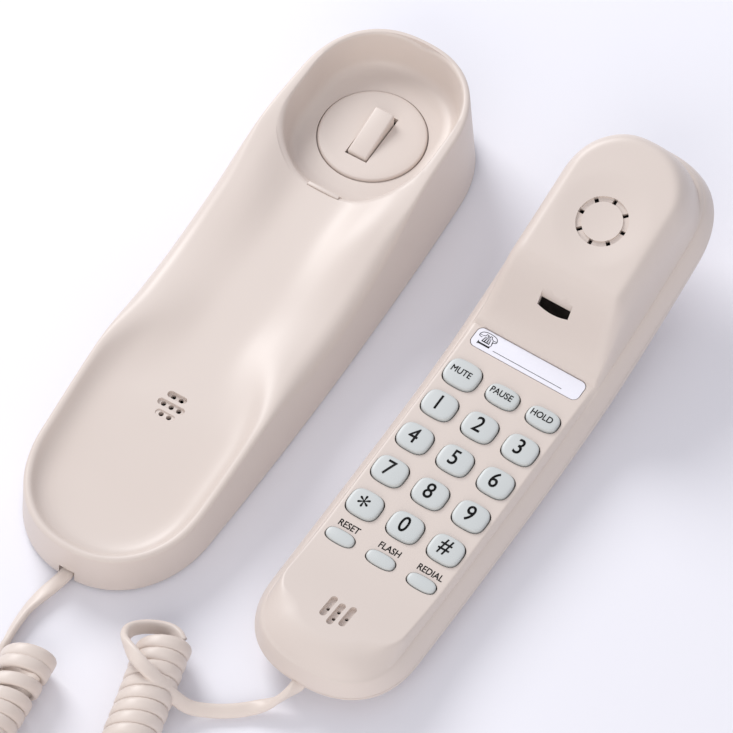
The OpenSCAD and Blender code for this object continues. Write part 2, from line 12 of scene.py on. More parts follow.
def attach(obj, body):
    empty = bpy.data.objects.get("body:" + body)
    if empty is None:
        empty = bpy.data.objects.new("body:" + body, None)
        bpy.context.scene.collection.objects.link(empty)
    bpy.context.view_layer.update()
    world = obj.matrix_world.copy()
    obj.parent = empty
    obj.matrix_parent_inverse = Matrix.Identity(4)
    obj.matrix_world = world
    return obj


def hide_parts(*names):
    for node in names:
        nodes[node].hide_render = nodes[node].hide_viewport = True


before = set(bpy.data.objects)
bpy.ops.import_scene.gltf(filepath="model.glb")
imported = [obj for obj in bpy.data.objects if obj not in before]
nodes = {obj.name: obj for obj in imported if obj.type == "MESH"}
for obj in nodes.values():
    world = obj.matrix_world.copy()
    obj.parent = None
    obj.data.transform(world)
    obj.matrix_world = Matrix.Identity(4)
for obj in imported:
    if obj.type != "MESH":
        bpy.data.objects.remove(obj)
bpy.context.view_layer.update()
MM = 0.001

# ---- Camera ----
# A long lens, held above the mouth ends and turned to the handset's side, so
# that both bodies run from lower left to upper right with hardly any perspective.
aim = Vector((33.02, 9.88, -4.96)) * MM
turn, rise, reach = math.radians(31.8), math.radians(57.3), 1450 * MM
back = Vector((math.sin(turn) * math.cos(rise), -math.cos(turn) * math.cos(rise), math.sin(rise)))
camera = bpy.data.objects.new("camera", bpy.data.cameras.new("camera"))
bpy.context.scene.collection.objects.link(camera)
camera.data.sensor_width = 36
camera.data.lens = 242.1
camera.data.clip_start, camera.data.clip_end = 0.1, 20
camera.location = aim + reach * back
camera.rotation_euler = (-back).to_track_quat("-Z", "Y").to_euler()
bpy.context.scene.camera = camera

# ---- Curly cord ----
# A flat four-core telephone cord in beige PVC, 4.2 mm wide and 2.3 mm thick. It is
# wound hot on a rod, so its turns spring back against each other; both ends stay straight.
CORD_WIDTH, CORD_THICK = 4.2, 2.3
COIL_RADIUS = 6.65
COIL_LEAN = 0.16
COIL_AXIS_HIGH = 7.8
COIL_START = 205
CORD_CORNERS = 0.7
base_end = [(0, -96.5, 3.1), (0, -100, 3.1), (-0.9, -104, 2.9), (-2.1, -108.5, 2.6), (-3.0, -113.5, 2.4),
            (-3.1, -118.5, 2.3), (-2.7, -123.5, 2.2), (-1.6, -128.2, 2.1), (1.6, -131.2, 2.0)]
coil_route = [(8, -128.5), (9, -137), (10, -147), (11, -158), (13, -169), (17, -180), (24, -188), (33, -191),
              (42, -189), (49, -182), (52, -171), (51, -160), (49, -148), (46, -136), (43, -124), (40, -113),
              (38.4, -106.5)]
end_loop = [(41.5, -102.9, 7.2), (37.6, -100.6, 6.6), (33, -101.6, 6.6), (29.4, -104.8, 8.2),
            (28.2, -109, 11.2), (30.0, -113.2, 14.6), (34.2, -116.6, 17.2), (39.2, -118.8, 17.6),
            (44.2, -119.2, 14.6),
            (48.6, -118.8, 9.2), (53.4, -117.6, 4.6), (58.6, -114.6, 2.6), (63.8, -111.2, 2.2),
            (68.4, -107.4, 2.4), (72.4, -103.8, 3.8), (75.2, -100.4, 6.3), (76.6, -97.4, 7.7), (77, -94.6, 8)]


def smooth_route(points, step):
    """A curve through the points, at even steps."""
    p = np.array([points[0], *points, points[-1]], float)
    p[0], p[-1] = 2 * p[1] - p[2], 2 * p[-2] - p[-3]
    out = []
    for i in range(1, len(p) - 2):
        a, b, c, d = p[i - 1:i + 3]
        for t in np.linspace(0, 1, 40, endpoint=False):
            out.append(0.5 * (2 * b + (c - a) * t + (2 * a - 5 * b + 4 * c - d) * t * t
                              + (3 * b - a - 3 * c + d) * t ** 3))
    out = np.array(out + [p[-2]])
    run = np.concatenate([[0], np.cumsum(np.linalg.norm(np.diff(out, axis=0), axis=1))])
    at = np.linspace(0, run[-1], max(2, int(round(run[-1] / step)) + 1))
    return np.stack([np.interp(at, run, out[:, k]) for k in range(out.shape[1])], axis=1)


axis_line = smooth_route(coil_route, 0.5)
axis_run = np.concatenate([[0], np.cumsum(np.linalg.norm(np.diff(axis_line, axis=0), axis=1))])
# The first two turns are tighter than the rest, the third is pulled open, and then the pitch is even.
TURN_MARKS = [0, 3.4, 7.2, 14.4]
TURN_PITCH = 4.18
turns = 3 + (axis_run[-1] - TURN_MARKS[-1]) / TURN_PITCH
STEPS = 22
strand, broad = [], []
for i in range(int(turns * STEPS) + 1):
    u = i / STEPS
    a = np.interp(u, range(4), TURN_MARKS) if u < 3 else TURN_MARKS[-1] + (u - 3) * TURN_PITCH
    a = min(a, axis_run[-1])
    centre = np.array([np.interp(a, axis_run, axis_line[:, k]) for k in range(2)])
    ahead = np.array([np.interp(min(a + 1, axis_run[-1]), axis_run, axis_line[:, k]) for k in range(2)])
    behind = np.array([np.interp(max(a - 1, 0), axis_run, axis_line[:, k]) for k in range(2)])
    heading = (ahead - behind) / np.linalg.norm(ahead - behind)
    side = np.array([heading[1], -heading[0]])
    angle = math.radians(COIL_START) + 2 * math.pi * u
    out = COIL_RADIUS * math.cos(angle)
    lean = COIL_LEAN * out
    xy = centre - side * out - heading * lean
    strand.append((*xy, COIL_AXIS_HIGH + COIL_RADIUS * math.sin(angle)))
    broad.append((*heading, 0))
strand, broad = np.array(strand), np.array(broad)
lead_a = smooth_route(base_end + [tuple(strand[0])], 1.5)[:-1]
lead_b = smooth_route([tuple(strand[-1])] + end_loop, 1.5)[1:]


def turn_over(path, stations):
    """The cord's broad direction along a lead, from (share of its length, direction) stations."""
    at = np.linspace(0, 1, len(path))
    share, way = [s for s, _ in stations], np.array([w for _, w in stations], float)
    return np.stack([np.interp(at, share, way[:, k]) for k in range(3)], axis=1)


broad_a = turn_over(lead_a, [(0, (1, 0, 0)), (0.25, (1, -0.1, 0.1)), (0.5, (0.6, -0.3, 0.75)),
                             (0.85, (0.2, -0.9, 0.5)), (1, broad[0])])
broad_b = turn_over(lead_b, [(0, broad[-1]), (0.08, (0.1, 0.7, 0.7)), (0.2, (-0.3, 0.5, 0.8)),
                             (0.33, (-0.7, 0.5, 0.4)), (0.5, (0.1, 0.97, 0.1)), (0.7, (0.3, 0.8, 0.3)),
                             (1, (0.5, 0.86, 0))])
cord_path = np.concatenate([lead_a, strand, lead_b])
cord_broad = np.concatenate([broad_a, broad, broad_b])
SIDES = 14
tangent = np.gradient(cord_path, axis=0)
tangent /= np.linalg.norm(tangent, axis=1)[:, None]
wide = cord_broad - tangent * (cord_broad * tangent).sum(1)[:, None]
wide /= np.linalg.norm(wide, axis=1)[:, None]
thin = np.cross(tangent, wide)
section = []
for k in range(SIDES):
    t = 2 * math.pi * k / SIDES
    c, s = math.cos(t), math.sin(t)
    section.append((math.copysign(abs(c) ** CORD_CORNERS, c) * CORD_WIDTH / 2,
                    math.copysign(abs(s) ** CORD_CORNERS, s) * CORD_THICK / 2))
rings = [[(p + w * x + n * y) * MM for x, y in section] for p, w, n in zip(cord_path, wide, thin)]
cord_verts = [tuple(v) for ring in rings for v in ring]
cord_faces = [(r * SIDES + k, r * SIDES + (k + 1) % SIDES,
               (r + 1) * SIDES + (k + 1) % SIDES, (r + 1) * SIDES + k)
              for r in range(len(rings) - 1) for k in range(SIDES)]
cord_faces += [tuple(range(SIDES))[::-1], tuple((len(rings) - 1) * SIDES + k for k in range(SIDES))]
cord_mesh = bpy.data.meshes.new("curly_cord")
cord_mesh.from_pydata(cord_verts, [], cord_faces)
curly_cord = bpy.data.objects.new("curly_cord", cord_mesh)
bpy.context.scene.collection.objects.link(curly_cord)


def clear_selection():
    if bpy.context.mode != "OBJECT":
        bpy.ops.object.mode_set(mode="OBJECT")
    bpy.ops.object.select_all(action="DESELECT")


def pick(piece):
    clear_selection()
    piece.select_set(True)
    bpy.context.view_layer.objects.active = piece


def face_outwards(piece):
    pick(piece)
    bpy.ops.object.mode_set(mode="EDIT")
    bpy.ops.mesh.select_all(action="SELECT")
    bpy.ops.mesh.normals_make_consistent(inside=False)
    bpy.ops.object.mode_set(mode="OBJECT")


def shade(piece, degrees=35):
    pick(piece)
    bpy.ops.object.shade_smooth_by_angle(angle=math.radians(degrees))


def colour(code):
    """An sRGB hex value as linear red, green, blue and alpha."""
    parts = [int(code[i:i + 2], 16) / 255 for i in (0, 2, 4)]
    return [p / 12.92 if p <= 0.04045 else ((p + 0.055) / 1.055) ** 2.4 for p in parts] + [1]


def add_node(material, kind, links=(), **settings):
    """Adds a node, sets its properties and inputs, and links (input, from node, from output) triples."""
    node = material.node_tree.nodes.new("ShaderNode" + kind)
    for key, value in settings.items():
        if hasattr(node, key):
            setattr(node, key, value)
        else:
            node.inputs[key.replace("_", " ")].default_value = value
    for socket, source, output in links:
        material.node_tree.links.new(source.outputs[output], node.inputs[socket])
    return node


def new_material(name):
    material = bpy.data.materials.new(name)
    material.use_nodes = True
    material.node_tree.nodes.clear()
    return material


def finish_material(material, shader):
    out = add_node(material, "OutputMaterial")
    material.node_tree.links.new(shader.outputs[0], out.inputs["Surface"])
    return material


def wear(piece, material):
    piece.data.materials.clear()
    piece.data.materials.append(material)


# Plasticised PVC, extruded: an even satin skin, a shade warmer and softer than
# the mouldings, with faint flow mottling a few millimetres long.
cord_vinyl = new_material("extruded_pvc_beige")
place = add_node(cord_vinyl, "TexCoord")
mottle = add_node(cord_vinyl, "TexNoise", [("Vector", place, "Object")], Scale=260, Detail=3)
tint = add_node(cord_vinyl, "MixRGB", [("Fac", mottle, "Fac")],
                Color1=colour("DDD0C7"), Color2=colour("E3D7CE"))
skin = add_node(cord_vinyl, "Bump", [("Height", mottle, "Fac")], Strength=0.05, Distance=0.0002)
finish_material(cord_vinyl, add_node(cord_vinyl, "BsdfPrincipled",
                                     [("Base Color", tint, "Color"), ("Normal", skin, "Normal")],
                                     Roughness=0.42, IOR=1.53))
wear(curly_cord, cord_vinyl)
face_outwards(curly_cord)
shade(curly_cord, 60)
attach(curly_cord, "base")
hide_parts("cord_base_lead", "cord_coil", "cord_handset_lead")

# ---- Base shell ----
# The cradle's upper half: one ABS moulding, 2.2 mm thick, with a drafted wall all round, a
# long trough that the handset lies in face down, and a deep well for its ear pad.
BASE_HALF, BASE_WIDTH = 99.1, 61.3
DRAFT = 0.07
SHELL_WALL = 2.2


def profile(stations):
    """A height along the length from (place, height) stations, with its corners rounded off."""
    ys, zs = zip(*stations)
    weights = [(-6, 1), (-4.5, 2), (-3, 3), (-1.5, 4), (0, 4), (1.5, 4), (3, 3), (4.5, 2), (6, 1)]
    return lambda y: sum(w * np.interp(y + o, ys, zs) for o, w in weights) / 24


def smoothstep(t):
    t = np.clip(t, 0, 1)
    return t * t * (3 - 2 * t)


def half_outline(low, high, width, square_low, square_high, bow, half_length, count):
    """Right half of a long outline with rounded ends, from its lowest point to its highest."""
    r = width / 2
    a = np.linspace(0, math.pi / 2, 60)
    start = np.stack([r * np.sin(a) ** (2 / square_low),
                      low + r - r * np.cos(a) ** (2 / square_low)], axis=1)
    end = np.stack([r * np.cos(a) ** (2 / square_high),
                    high - r + r * np.sin(a) ** (2 / square_high)], axis=1)
    side = np.stack([np.full(80, r), np.linspace(low + r, high - r, 82)[1:-1]], axis=1)
    p = np.concatenate([start, side, end])
    p[:, 0] *= 1 - bow * (p[:, 1] / half_length) ** 2
    run = np.concatenate([[0], np.cumsum(np.linalg.norm(np.diff(p, axis=0), axis=1))])
    at = np.linspace(0, run[-1], count + 1)
    return np.stack([np.interp(at, run, p[:, 0]), np.interp(at, run, p[:, 1])], axis=1)


def inset(half, depth, deep=7.0):
    """Moves a half outline inwards: along its normals for a short way, then towards its middle line."""
    depth = np.broadcast_to(depth, len(half)).astype(float)
    along = np.gradient(half, axis=0)
    along[0], along[-1] = (1, 0), (-1, 0)
    along /= np.linalg.norm(along, axis=1)[:, None]
    inward = np.stack([-along[:, 1], along[:, 0]], axis=1)
    p = half + inward * np.minimum(depth, deep)[:, None]
    mid = (half[0, 1] + half[-1, 1]) / 2
    reach_x, reach_y = half[:, 0].max() - deep, (half[-1, 1] - half[0, 1]) / 2 - deep
    more = np.maximum(depth - deep, 0)
    p[:, 0] *= 1 - more / reach_x
    p[:, 1] = mid + (p[:, 1] - mid) * (1 - more / reach_y)
    p[0, 0] = p[-1, 0] = 0
    return p


def whole(half, z):
    """The closed ring of a half outline, with its heights."""
    right = [(x, y, h) for (x, y), h in zip(half, np.broadcast_to(z, len(half)))]
    return right + [(-x, y, h) for x, y, h in right[-2:0:-1]]


def extrude_rings(name, rings, close_first=True, close_last=True):
    """Starts from a circle and extrudes its edge loop from ring to ring; the ends are closed across X."""
    count = len(rings[0])
    clear_selection()
    bpy.ops.mesh.primitive_circle_add(vertices=count, radius=0.01)
    piece = bpy.context.object
    piece.name = piece.data.name = name
    bpy.ops.object.mode_set(mode="EDIT")
    bpy.ops.mesh.select_all(action="SELECT")
    bm = bmesh.from_edit_mesh(piece.data)
    bm.verts.ensure_lookup_table()
    loop = list(range(count))
    for k, ring in enumerate(rings):
        if k:
            first_new = len(bm.verts)
            bpy.ops.mesh.extrude_edges_move()
            bm = bmesh.from_edit_mesh(piece.data)
            bm.verts.index_update()
            bm.verts.ensure_lookup_table()
            loop = [next(e.other_vert(bm.verts[i]).index for e in bm.verts[i].link_edges
                         if e.other_vert(bm.verts[i]).index >= first_new) for i in loop]
        for i, point in zip(loop, ring):
            bm.verts[i].co = Vector(point) * MM
    half = count // 2
    for wanted, ids in ((close_first, list(range(count))), (close_last, loop)):
        for j in range(half if wanted else 0):
            corners = []
            for i in (ids[j], ids[j + 1], ids[-(j + 1) % count], ids[-j % count]):
                if bm.verts[i] not in corners:
                    corners.append(bm.verts[i])
            bm.faces.new(corners)
    bmesh.update_edit_mesh(piece.data)
    bpy.ops.mesh.select_all(action="SELECT")
    bpy.ops.mesh.normals_make_consistent(inside=False)
    bpy.ops.object.mode_set(mode="OBJECT")
    return piece


def carve(piece, cutters):
    """Takes the cutters out of a closed piece, and removes them."""
    clear_selection()
    for cutter in cutters:
        cutter.select_set(True)
    bpy.context.view_layer.objects.active = cutters[0]
    if len(cutters) > 1:
        bpy.ops.object.join()
    tool = bpy.context.view_layer.objects.active
    pick(piece)
    cut = piece.modifiers.new("cut", "BOOLEAN")
    cut.operation, cut.solver, cut.object = "DIFFERENCE", "MANIFOLD", tool
    bpy.ops.object.modifier_apply(modifier="cut")
    bpy.data.objects.remove(tool)


rim_height = profile([(-99, 15.5), (-85, 15.8), (-79, 15.9), (-73, 17), (-67, 17.4), (-61, 18.5), (-55, 19.5),
                      (-49, 20.5), (-43, 21.6), (-37, 22.5), (-31, 22.8), (-25, 22.7), (-19, 22.3), (-13, 22),
                      (-7, 21.8), (-1, 21.8), (5, 22.4), (11, 23.3), (17, 24.6), (23, 26.1), (29, 27.6),
                      (35, 29.1), (41, 30.4), (47, 31.7), (53, 32.8), (99, 32.8)])
trough_height = profile([(-99, 10.4), (-86, 10.8), (-74, 12), (-62, 14.2), (-45, 17.3), (-22, 19.2),
                         (0, 20.8), (20, 22.8), (40, 25), (60, 28), (99, 30)])
ceiling_height = profile([(-99, 8.2), (-86, 8.6), (-74, 9.8), (-62, 12), (-45, 15.1), (-22, 17), (0, 18.6),
                          (20, 18.6), (34, 17), (99, 17)])


def standing_rim(y):
    """1 where the trough has a steep inner wall, at the mouth end; 0 where it fades into the side."""
    return smoothstep((-16 - y) / 34)


def lip_radius(y):
    return 1.1 + 3.6 * (1 - smoothstep((-14 - y) / 26)) * (1 - smoothstep((y - 24) / 26))


# How far the top surface has dropped from the rim to the trough, as (distance inwards, share)
# stations: at the mouth end, and along the rest of the base.
STEEP = [(0.5, 0.0), (1.0, 0.04), (1.4, 0.13), (1.8, 0.27), (2.3, 0.44), (2.9, 0.6), (3.7, 0.74),
         (4.8, 0.85), (6.2, 0.92), (8, 0.96), (10, 0.98), (12, 0.99), (14, 1), (16, 1), (18, 1), (20, 1),
         (22, 1), (24, 1), (26, 1)]
GENTLE = [(1.0, 0.002), (2.2, 0.01), (3.4, 0.03), (4.6, 0.07), (5.8, 0.12), (7, 0.19), (8.2, 0.27),
          (9.4, 0.36), (10.6, 0.45), (11.8, 0.54), (13, 0.63), (14.2, 0.71), (15.4, 0.79),
          (16.6, 0.86), (18, 0.92), (19.6, 0.965), (21.4, 0.985), (23.4, 0.996), (25.6, 1)]
# Past FREE_DEPTH the rings are squeezed, so that the last one ends LAST_REACH further in.
FREE_DEPTH, LAST_REACH = 15, 13.4
outline = half_outline(-BASE_HALF, BASE_HALF, BASE_WIDTH, 2.2, 2.35, 0.115, BASE_HALF, 130)
at_y = outline[:, 1]
rim, lip, walled = rim_height(at_y), lip_radius(at_y), standing_rim(at_y)
base_rings = []
for depth in (27, 22, 16, 11, 7, 4):
    ring = inset(outline, depth)
    base_rings.append(whole(ring, ceiling_height(ring[:, 1])))
base_rings.append(whole(inset(outline, SHELL_WALL + DRAFT * 8), ceiling_height(at_y) - 0.8))
base_rings.append(whole(inset(outline, SHELL_WALL), 1.0))
base_rings.append(whole(inset(outline, 0.5), 1.0))
base_rings.append(whole(inset(outline, 0.12), 1.25))
base_rings.append(whole(inset(outline, DRAFT * 1.2), 1.8))
for share in (0.25, 0.5, 0.75, 1):
    z = 1.8 + (rim - lip - 1.8) * share
    base_rings.append(whole(inset(outline, DRAFT * z), z))
for step in range(1, 7):
    a = math.radians(15 * step)
    z = rim - lip + lip * math.sin(a)
    base_rings.append(whole(inset(outline, DRAFT * (rim - lip) + lip * (1 - math.cos(a))), z))
for (d_steep, s_steep), (d_gentle, s_gentle) in zip(STEEP, GENTLE):
    start = DRAFT * (rim - lip) + lip
    d = start + walled * d_steep + (1 - walled) * d_gentle
    deepest = start + walled * STEEP[-1][0] + (1 - walled) * GENTLE[-1][0]
    squeezed = FREE_DEPTH + (d - FREE_DEPTH) * LAST_REACH / (deepest - FREE_DEPTH)
    ring = inset(outline, np.where(d < FREE_DEPTH, d, squeezed))
    share = walled * s_steep + (1 - walled) * s_gentle
    base_rings.append(whole(ring, rim + (trough_height(ring[:, 1]) - rim) * share))
base_shell = extrude_rings("base_shell_moulding", base_rings)

# The well for the ear pad: its wall flares into the trough's surface along the near lip.
WELL_LOW, WELL_HIGH, WELL_WIDTH, WELL_FLOOR = 39.6, 94.4, 47.2, 19.5
WELL_FLARE, WELL_ROUNDING = 2.4, 1.5
well_outline = half_outline(WELL_LOW, WELL_HIGH, WELL_WIDTH, 2.3, 2.3, 0.02, BASE_HALF, 70)


def base_top(p):
    """Height of the uncut top surface under points well inside the rim."""
    to_side = np.interp(p[:, 1], at_y, outline[:, 0]) - DRAFT * rim_height(p[:, 1]) - 1.2 - np.abs(p[:, 0])
    share = np.interp(to_side, [d for d, _ in GENTLE], [s for _, s in GENTLE])
    return rim_height(p[:, 1]) + (trough_height(p[:, 1]) - rim_height(p[:, 1])) * share


well_rings = []
for depth, up in ((20, 0), (14, 0), (9, 0), (6, 0), (4, 0.15), (2.8, 0.7), (1.9, 1.6), (1.3, 2.9)):
    well_rings.append(whole(inset(well_outline, depth), WELL_FLOOR + up))
well_top = base_top(well_outline)
for share, flare in ((0.3, 0.9), (0.6, 0.55), (0.85, 0.3)):
    z = WELL_FLOOR + 2.9 + (well_top - 1.6 - WELL_FLOOR - 2.9) * share
    well_rings.append(whole(inset(well_outline, flare), z))
for step in range(0, 6):
    a = math.radians(17 * step)
    flare = WELL_FLARE * (1 - math.cos(a)) * (1 - 0.62 * smoothstep((well_outline[:, 1] - 50) / 12))
    ring = inset(well_outline, -flare)
    well_rings.append(whole(ring, base_top(ring) - WELL_ROUNDING + WELL_ROUNDING * math.sin(a) + 0.02 * step))
well_rings.append(whole(inset(well_outline, -3.0), 45))
well_plug = extrude_rings("well_plug", well_rings)


def cylinder(name, radius, low, high, at, sides=64):
    """A round cutter standing on Z, in millimetres."""
    clear_selection()
    bpy.ops.mesh.primitive_cylinder_add(vertices=sides, radius=radius * MM, depth=(high - low) * MM,
                                        location=(at[0] * MM, at[1] * MM, (low + high) / 2 * MM))
    piece = bpy.context.object
    piece.name = name
    bpy.ops.object.transform_apply(location=True, rotation=True, scale=True)
    return piece


def block(name, x, y, z):
    """A square cutter between the given limits, in millimetres."""
    clear_selection()
    bpy.ops.mesh.primitive_cube_add(size=1, location=[(a + b) / 2 * MM for a, b in (x, y, z)],
                                    scale=[(b - a) * MM for a, b in (x, y, z)])
    piece = bpy.context.object
    piece.name = name
    bpy.ops.object.transform_apply(location=True, rotation=True, scale=True)
    return piece


def rounded_bar(name, length, width, low, high, at, along="X", sides=16):
    """A bar with half-round ends, standing on Z, in millimetres: a slot's cutter."""
    r, straight = width / 2, (length - width) / 2
    ring = []
    for k in range(sides * 2):
        a = math.pi * (k + 0.5) / sides - math.pi / 2
        shift = straight if math.cos(a) > 0 else -straight
        x, y = shift + r * math.cos(a), r * math.sin(a)
        ring.append((x, y) if along == "X" else (-y, x))
    return extrude_rings(name, [[(x + at[0], y + at[1], z) for x, y in ring] for z in (low, high)])


DISC_AT, DISC_R = (0, 66.5), 16.4
RINGER_AT = -43.4
RINGER_ROWS = ((3.3, (-1.3, 1.3)), (0, (-2.6, 0, 2.6)), (-3.3, (-1.3, 1.3)))
carve(base_shell, [well_plug])
carve(base_shell, [cylinder("disc_seat", DISC_R + 0.35, 18.2, 22, DISC_AT, 96)])
carve(base_shell, [cylinder("hook_hole", 14.2, 10, 22, DISC_AT, 96)])
slots = []
for dy, xs in RINGER_ROWS:
    length = len(xs) * 2.6 + 1.2
    slots.append(rounded_bar("ringer_slot", length, 2.2, trough_height(RINGER_AT) - 0.75, 24,
                             (0, RINGER_AT + dy)))
carve(base_shell, slots)
holes = []
for dy, xs in RINGER_ROWS:
    holes += [cylinder("ringer_hole", 0.8, 12, 24, (x, RINGER_AT + dy), 24) for x in xs]
carve(base_shell, holes)
carve(base_shell, [block("cord_notch", (-2.6, 2.6), (-103, -94), (-1, 5.2)),
                   block("jack_window", (-6.9, 6.9), (93, 103), (2.8, 14.6)),
                   block("tab_slot", (-5.35, 5.35), (38.5, 41), (18, 40))])

# ABS, injection moulded in a finely sparked tool: a warm beige satin with a low, even
# sheen; faint drift in its tone over centimetres, and a grain of about 0.4 mm.
abs_shell = new_material("moulded_abs_beige")
place = add_node(abs_shell, "TexCoord")
drift = add_node(abs_shell, "TexNoise", [("Vector", place, "Object")], Scale=28, Detail=2)
tint = add_node(abs_shell, "MixRGB", [("Fac", drift, "Fac")],
                Color1=colour("D7CBC3"), Color2=colour("DACEC6"))
spark = add_node(abs_shell, "TexNoise", [("Vector", place, "Object")], Scale=2400, Detail=2)
sheen_drift = add_node(abs_shell, "MapRange", [("Value", drift, "Fac")], To_Min=0.36, To_Max=0.44)
grain = add_node(abs_shell, "Bump", [("Height", spark, "Fac")], Strength=0.12, Distance=0.00004)
finish_material(abs_shell, add_node(abs_shell, "BsdfPrincipled", [("Base Color", tint, "Color"),
                ("Roughness", sheen_drift, "Result"), ("Normal", grain, "Normal")], IOR=1.53))
wear(base_shell, abs_shell)
shade(base_shell)
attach(base_shell, "base")
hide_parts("base_shell")

# ---- Hook: plate, button and hanger ----
# A round ABS plate pressed into the well's floor, a sloping button hinged under it, and
# the small reversible hanger that holds the handset when the base is on a wall.


def outline_points(length, width, squareness, count=56):
    """A closed rounded shape about the origin, its points at even steps."""
    a = np.linspace(0, 2 * math.pi, 721)
    c, s = np.cos(a), np.sin(a)
    p = np.stack([length / 2 * np.sign(c) * np.abs(c) ** (2 / squareness),
                  width / 2 * np.sign(s) * np.abs(s) ** (2 / squareness)], axis=1)
    run = np.concatenate([[0], np.cumsum(np.linalg.norm(np.diff(p, axis=0), axis=1))])
    at = np.linspace(0, run[-1], count + 1)[:-1] - run[-1] / 4
    return np.stack([np.interp(at % run[-1], run, p[:, 0]), np.interp(at % run[-1], run, p[:, 1])], axis=1)


def round_edges(piece, width, segments=3, angle=40):
    pick(piece)
    bevel = piece.modifiers.new("edges", "BEVEL")
    bevel.width, bevel.segments, bevel.limit_method = width * MM, segments, "ANGLE"
    bevel.angle_limit = math.radians(angle)
    bpy.ops.object.modifier_apply(modifier="edges")


disc_rings = [[(r * math.cos(math.radians(3.75 * k)), DISC_AT[1] + r * math.sin(math.radians(3.75 * k)), z)
               for k in range(-24, 72)]
              for r, z in ((DISC_R - 0.3, 18.05), (DISC_R, 18.3), (DISC_R, 19.75), (DISC_R - 0.12, 20.05),
                           (DISC_R - 0.4, 20.25), (DISC_R - 0.8, 20.32), (DISC_R - 3, 20.32),
                           (DISC_R - 9, 20.32))]
hook_plate = extrude_rings("hook_plate", disc_rings)
carve(hook_plate, [block("button_slot", (-3.75, 3.75), (56.9, 75.2), (15, 24))])
wear(hook_plate, abs_shell)
shade(hook_plate)
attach(hook_plate, "base")
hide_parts("hook_disc")

BUTTON_NEAR, BUTTON_FAR, BUTTON_WIDTH = 57.5, 73.8, 6.7
BUTTON_FOOT, BUTTON_NEAR_TOP, BUTTON_FAR_TOP = 14.6, 20.9, 24.3
clear_selection()
bpy.ops.mesh.primitive_cube_add(size=1)
hook_button = bpy.context.object
hook_button.name = "hook_button_cap"
for v in hook_button.data.vertices:
    near, top = v.co.y < 0, v.co.z > 0
    v.co = Vector((math.copysign(BUTTON_WIDTH / 2, v.co.x), BUTTON_NEAR if near else BUTTON_FAR,
                   (BUTTON_NEAR_TOP if near else BUTTON_FAR_TOP) if top else BUTTON_FOOT)) * MM
round_edges(hook_button, 0.75, 4)
wear(hook_button, abs_shell)
shade(hook_button, 50)
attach(hook_button, "hook")
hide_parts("hook_button")

TAB_AT, TAB_HALF_WIDTH, TAB_HALF_THICK, TAB_FOOT, TAB_TOP = 39.2, 5.25, 0.6, 17.2, 25.3
clear_selection()
bpy.ops.mesh.primitive_cube_add(size=1)
wall_hanger = bpy.context.object
wall_hanger.name = "wall_hanger_tab"
for v in wall_hanger.data.vertices:
    v.co = Vector((math.copysign(TAB_HALF_WIDTH, v.co.x), TAB_AT + math.copysign(TAB_HALF_THICK, v.co.y),
                   TAB_TOP if v.co.z > 0 else TAB_FOOT)) * MM
round_edges(wall_hanger, 0.25, 3)
wear(wall_hanger, abs_shell)
shade(wall_hanger)
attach(wall_hanger, "wall_hanger")
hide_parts("wall_tab")

# ---- Handset: front shell ----
# The upper half of the handset, moulded in the same beige ABS: a flat key panel with a rounded
# tongue at the mouth end, and a raised rounded pad for the ear with a shallow dish in it.
HS_HALF_LOW, HS_HALF_HIGH, HS_WIDTH = 98.7, 98.2, 49.6
handset_place = (Matrix.Translation(Vector((79.5, 1.5, 0)) * MM)
                 @ Matrix.Rotation(math.radians(-1.6), 4, "Z"))
parting = profile([(-99, 9.5), (-75, 9), (-50, 8.6), (-20, 8.8), (0, 9.5), (20, 11.7), (40, 16), (58, 21),
                   (75, 26.5), (90, 30.5), (99, 32.2)])
panel = profile([(-99, 20.9), (-87, 20.3), (-79, 19.6), (-70, 18.1), (-62, 16.9), (-54, 16.4), (-31, 17.1),
                 (24, 18.8), (40, 19.2), (99, 19.2)])
belly = profile([(-99, 7.5), (-90, 3.6), (-75, 1.6), (-58, 0.15), (15, 0.15), (30, 1), (45, 4), (60, 9),
                 (75, 14.8), (90, 22), (99, 28)])
EDGE_RISE = 5.6
PAD_AT, PAD_HIGH, PAD_TILT = 59.5, 45.2, 16.3
DISH_R, DISH_DEEP = 14.5, 1.2
PAD_START, PAD_RAMP = 24, 18.5


def pad_share(s, depth, shrink=0):
    """1 on the ear pad, 0 outside it, from the place along the handset and the depth inside its outline."""
    ear_end = smoothstep((s - 70) / 22)
    across = 1 - np.clip((depth - shrink - 2.6 - 2.8 * ear_end) / (7.2 + 5.5 * ear_end), 0, 1)
    return (1 - across ** 2.6) * smoothstep((s - shrink - PAD_START) / PAD_RAMP)


def pad_top(x, s):
    r = np.minimum(np.hypot(x, s - PAD_AT) / DISH_R, 1)
    return PAD_HIGH + (s - PAD_AT) * math.tan(math.radians(PAD_TILT)) - DISH_DEEP * (1 - r ** 2) ** 1.5


def crown(x, s, depth, shrink=0):
    under_pad = np.minimum(panel(s) + smoothstep((s - PAD_START) / 12) * 99, parting(s) + EDGE_RISE + 1.7)
    low = np.where(s > 20, under_pad, panel(s))
    share = pad_share(s, depth, shrink)
    return low * (1 - share) + pad_top(x, s) * share


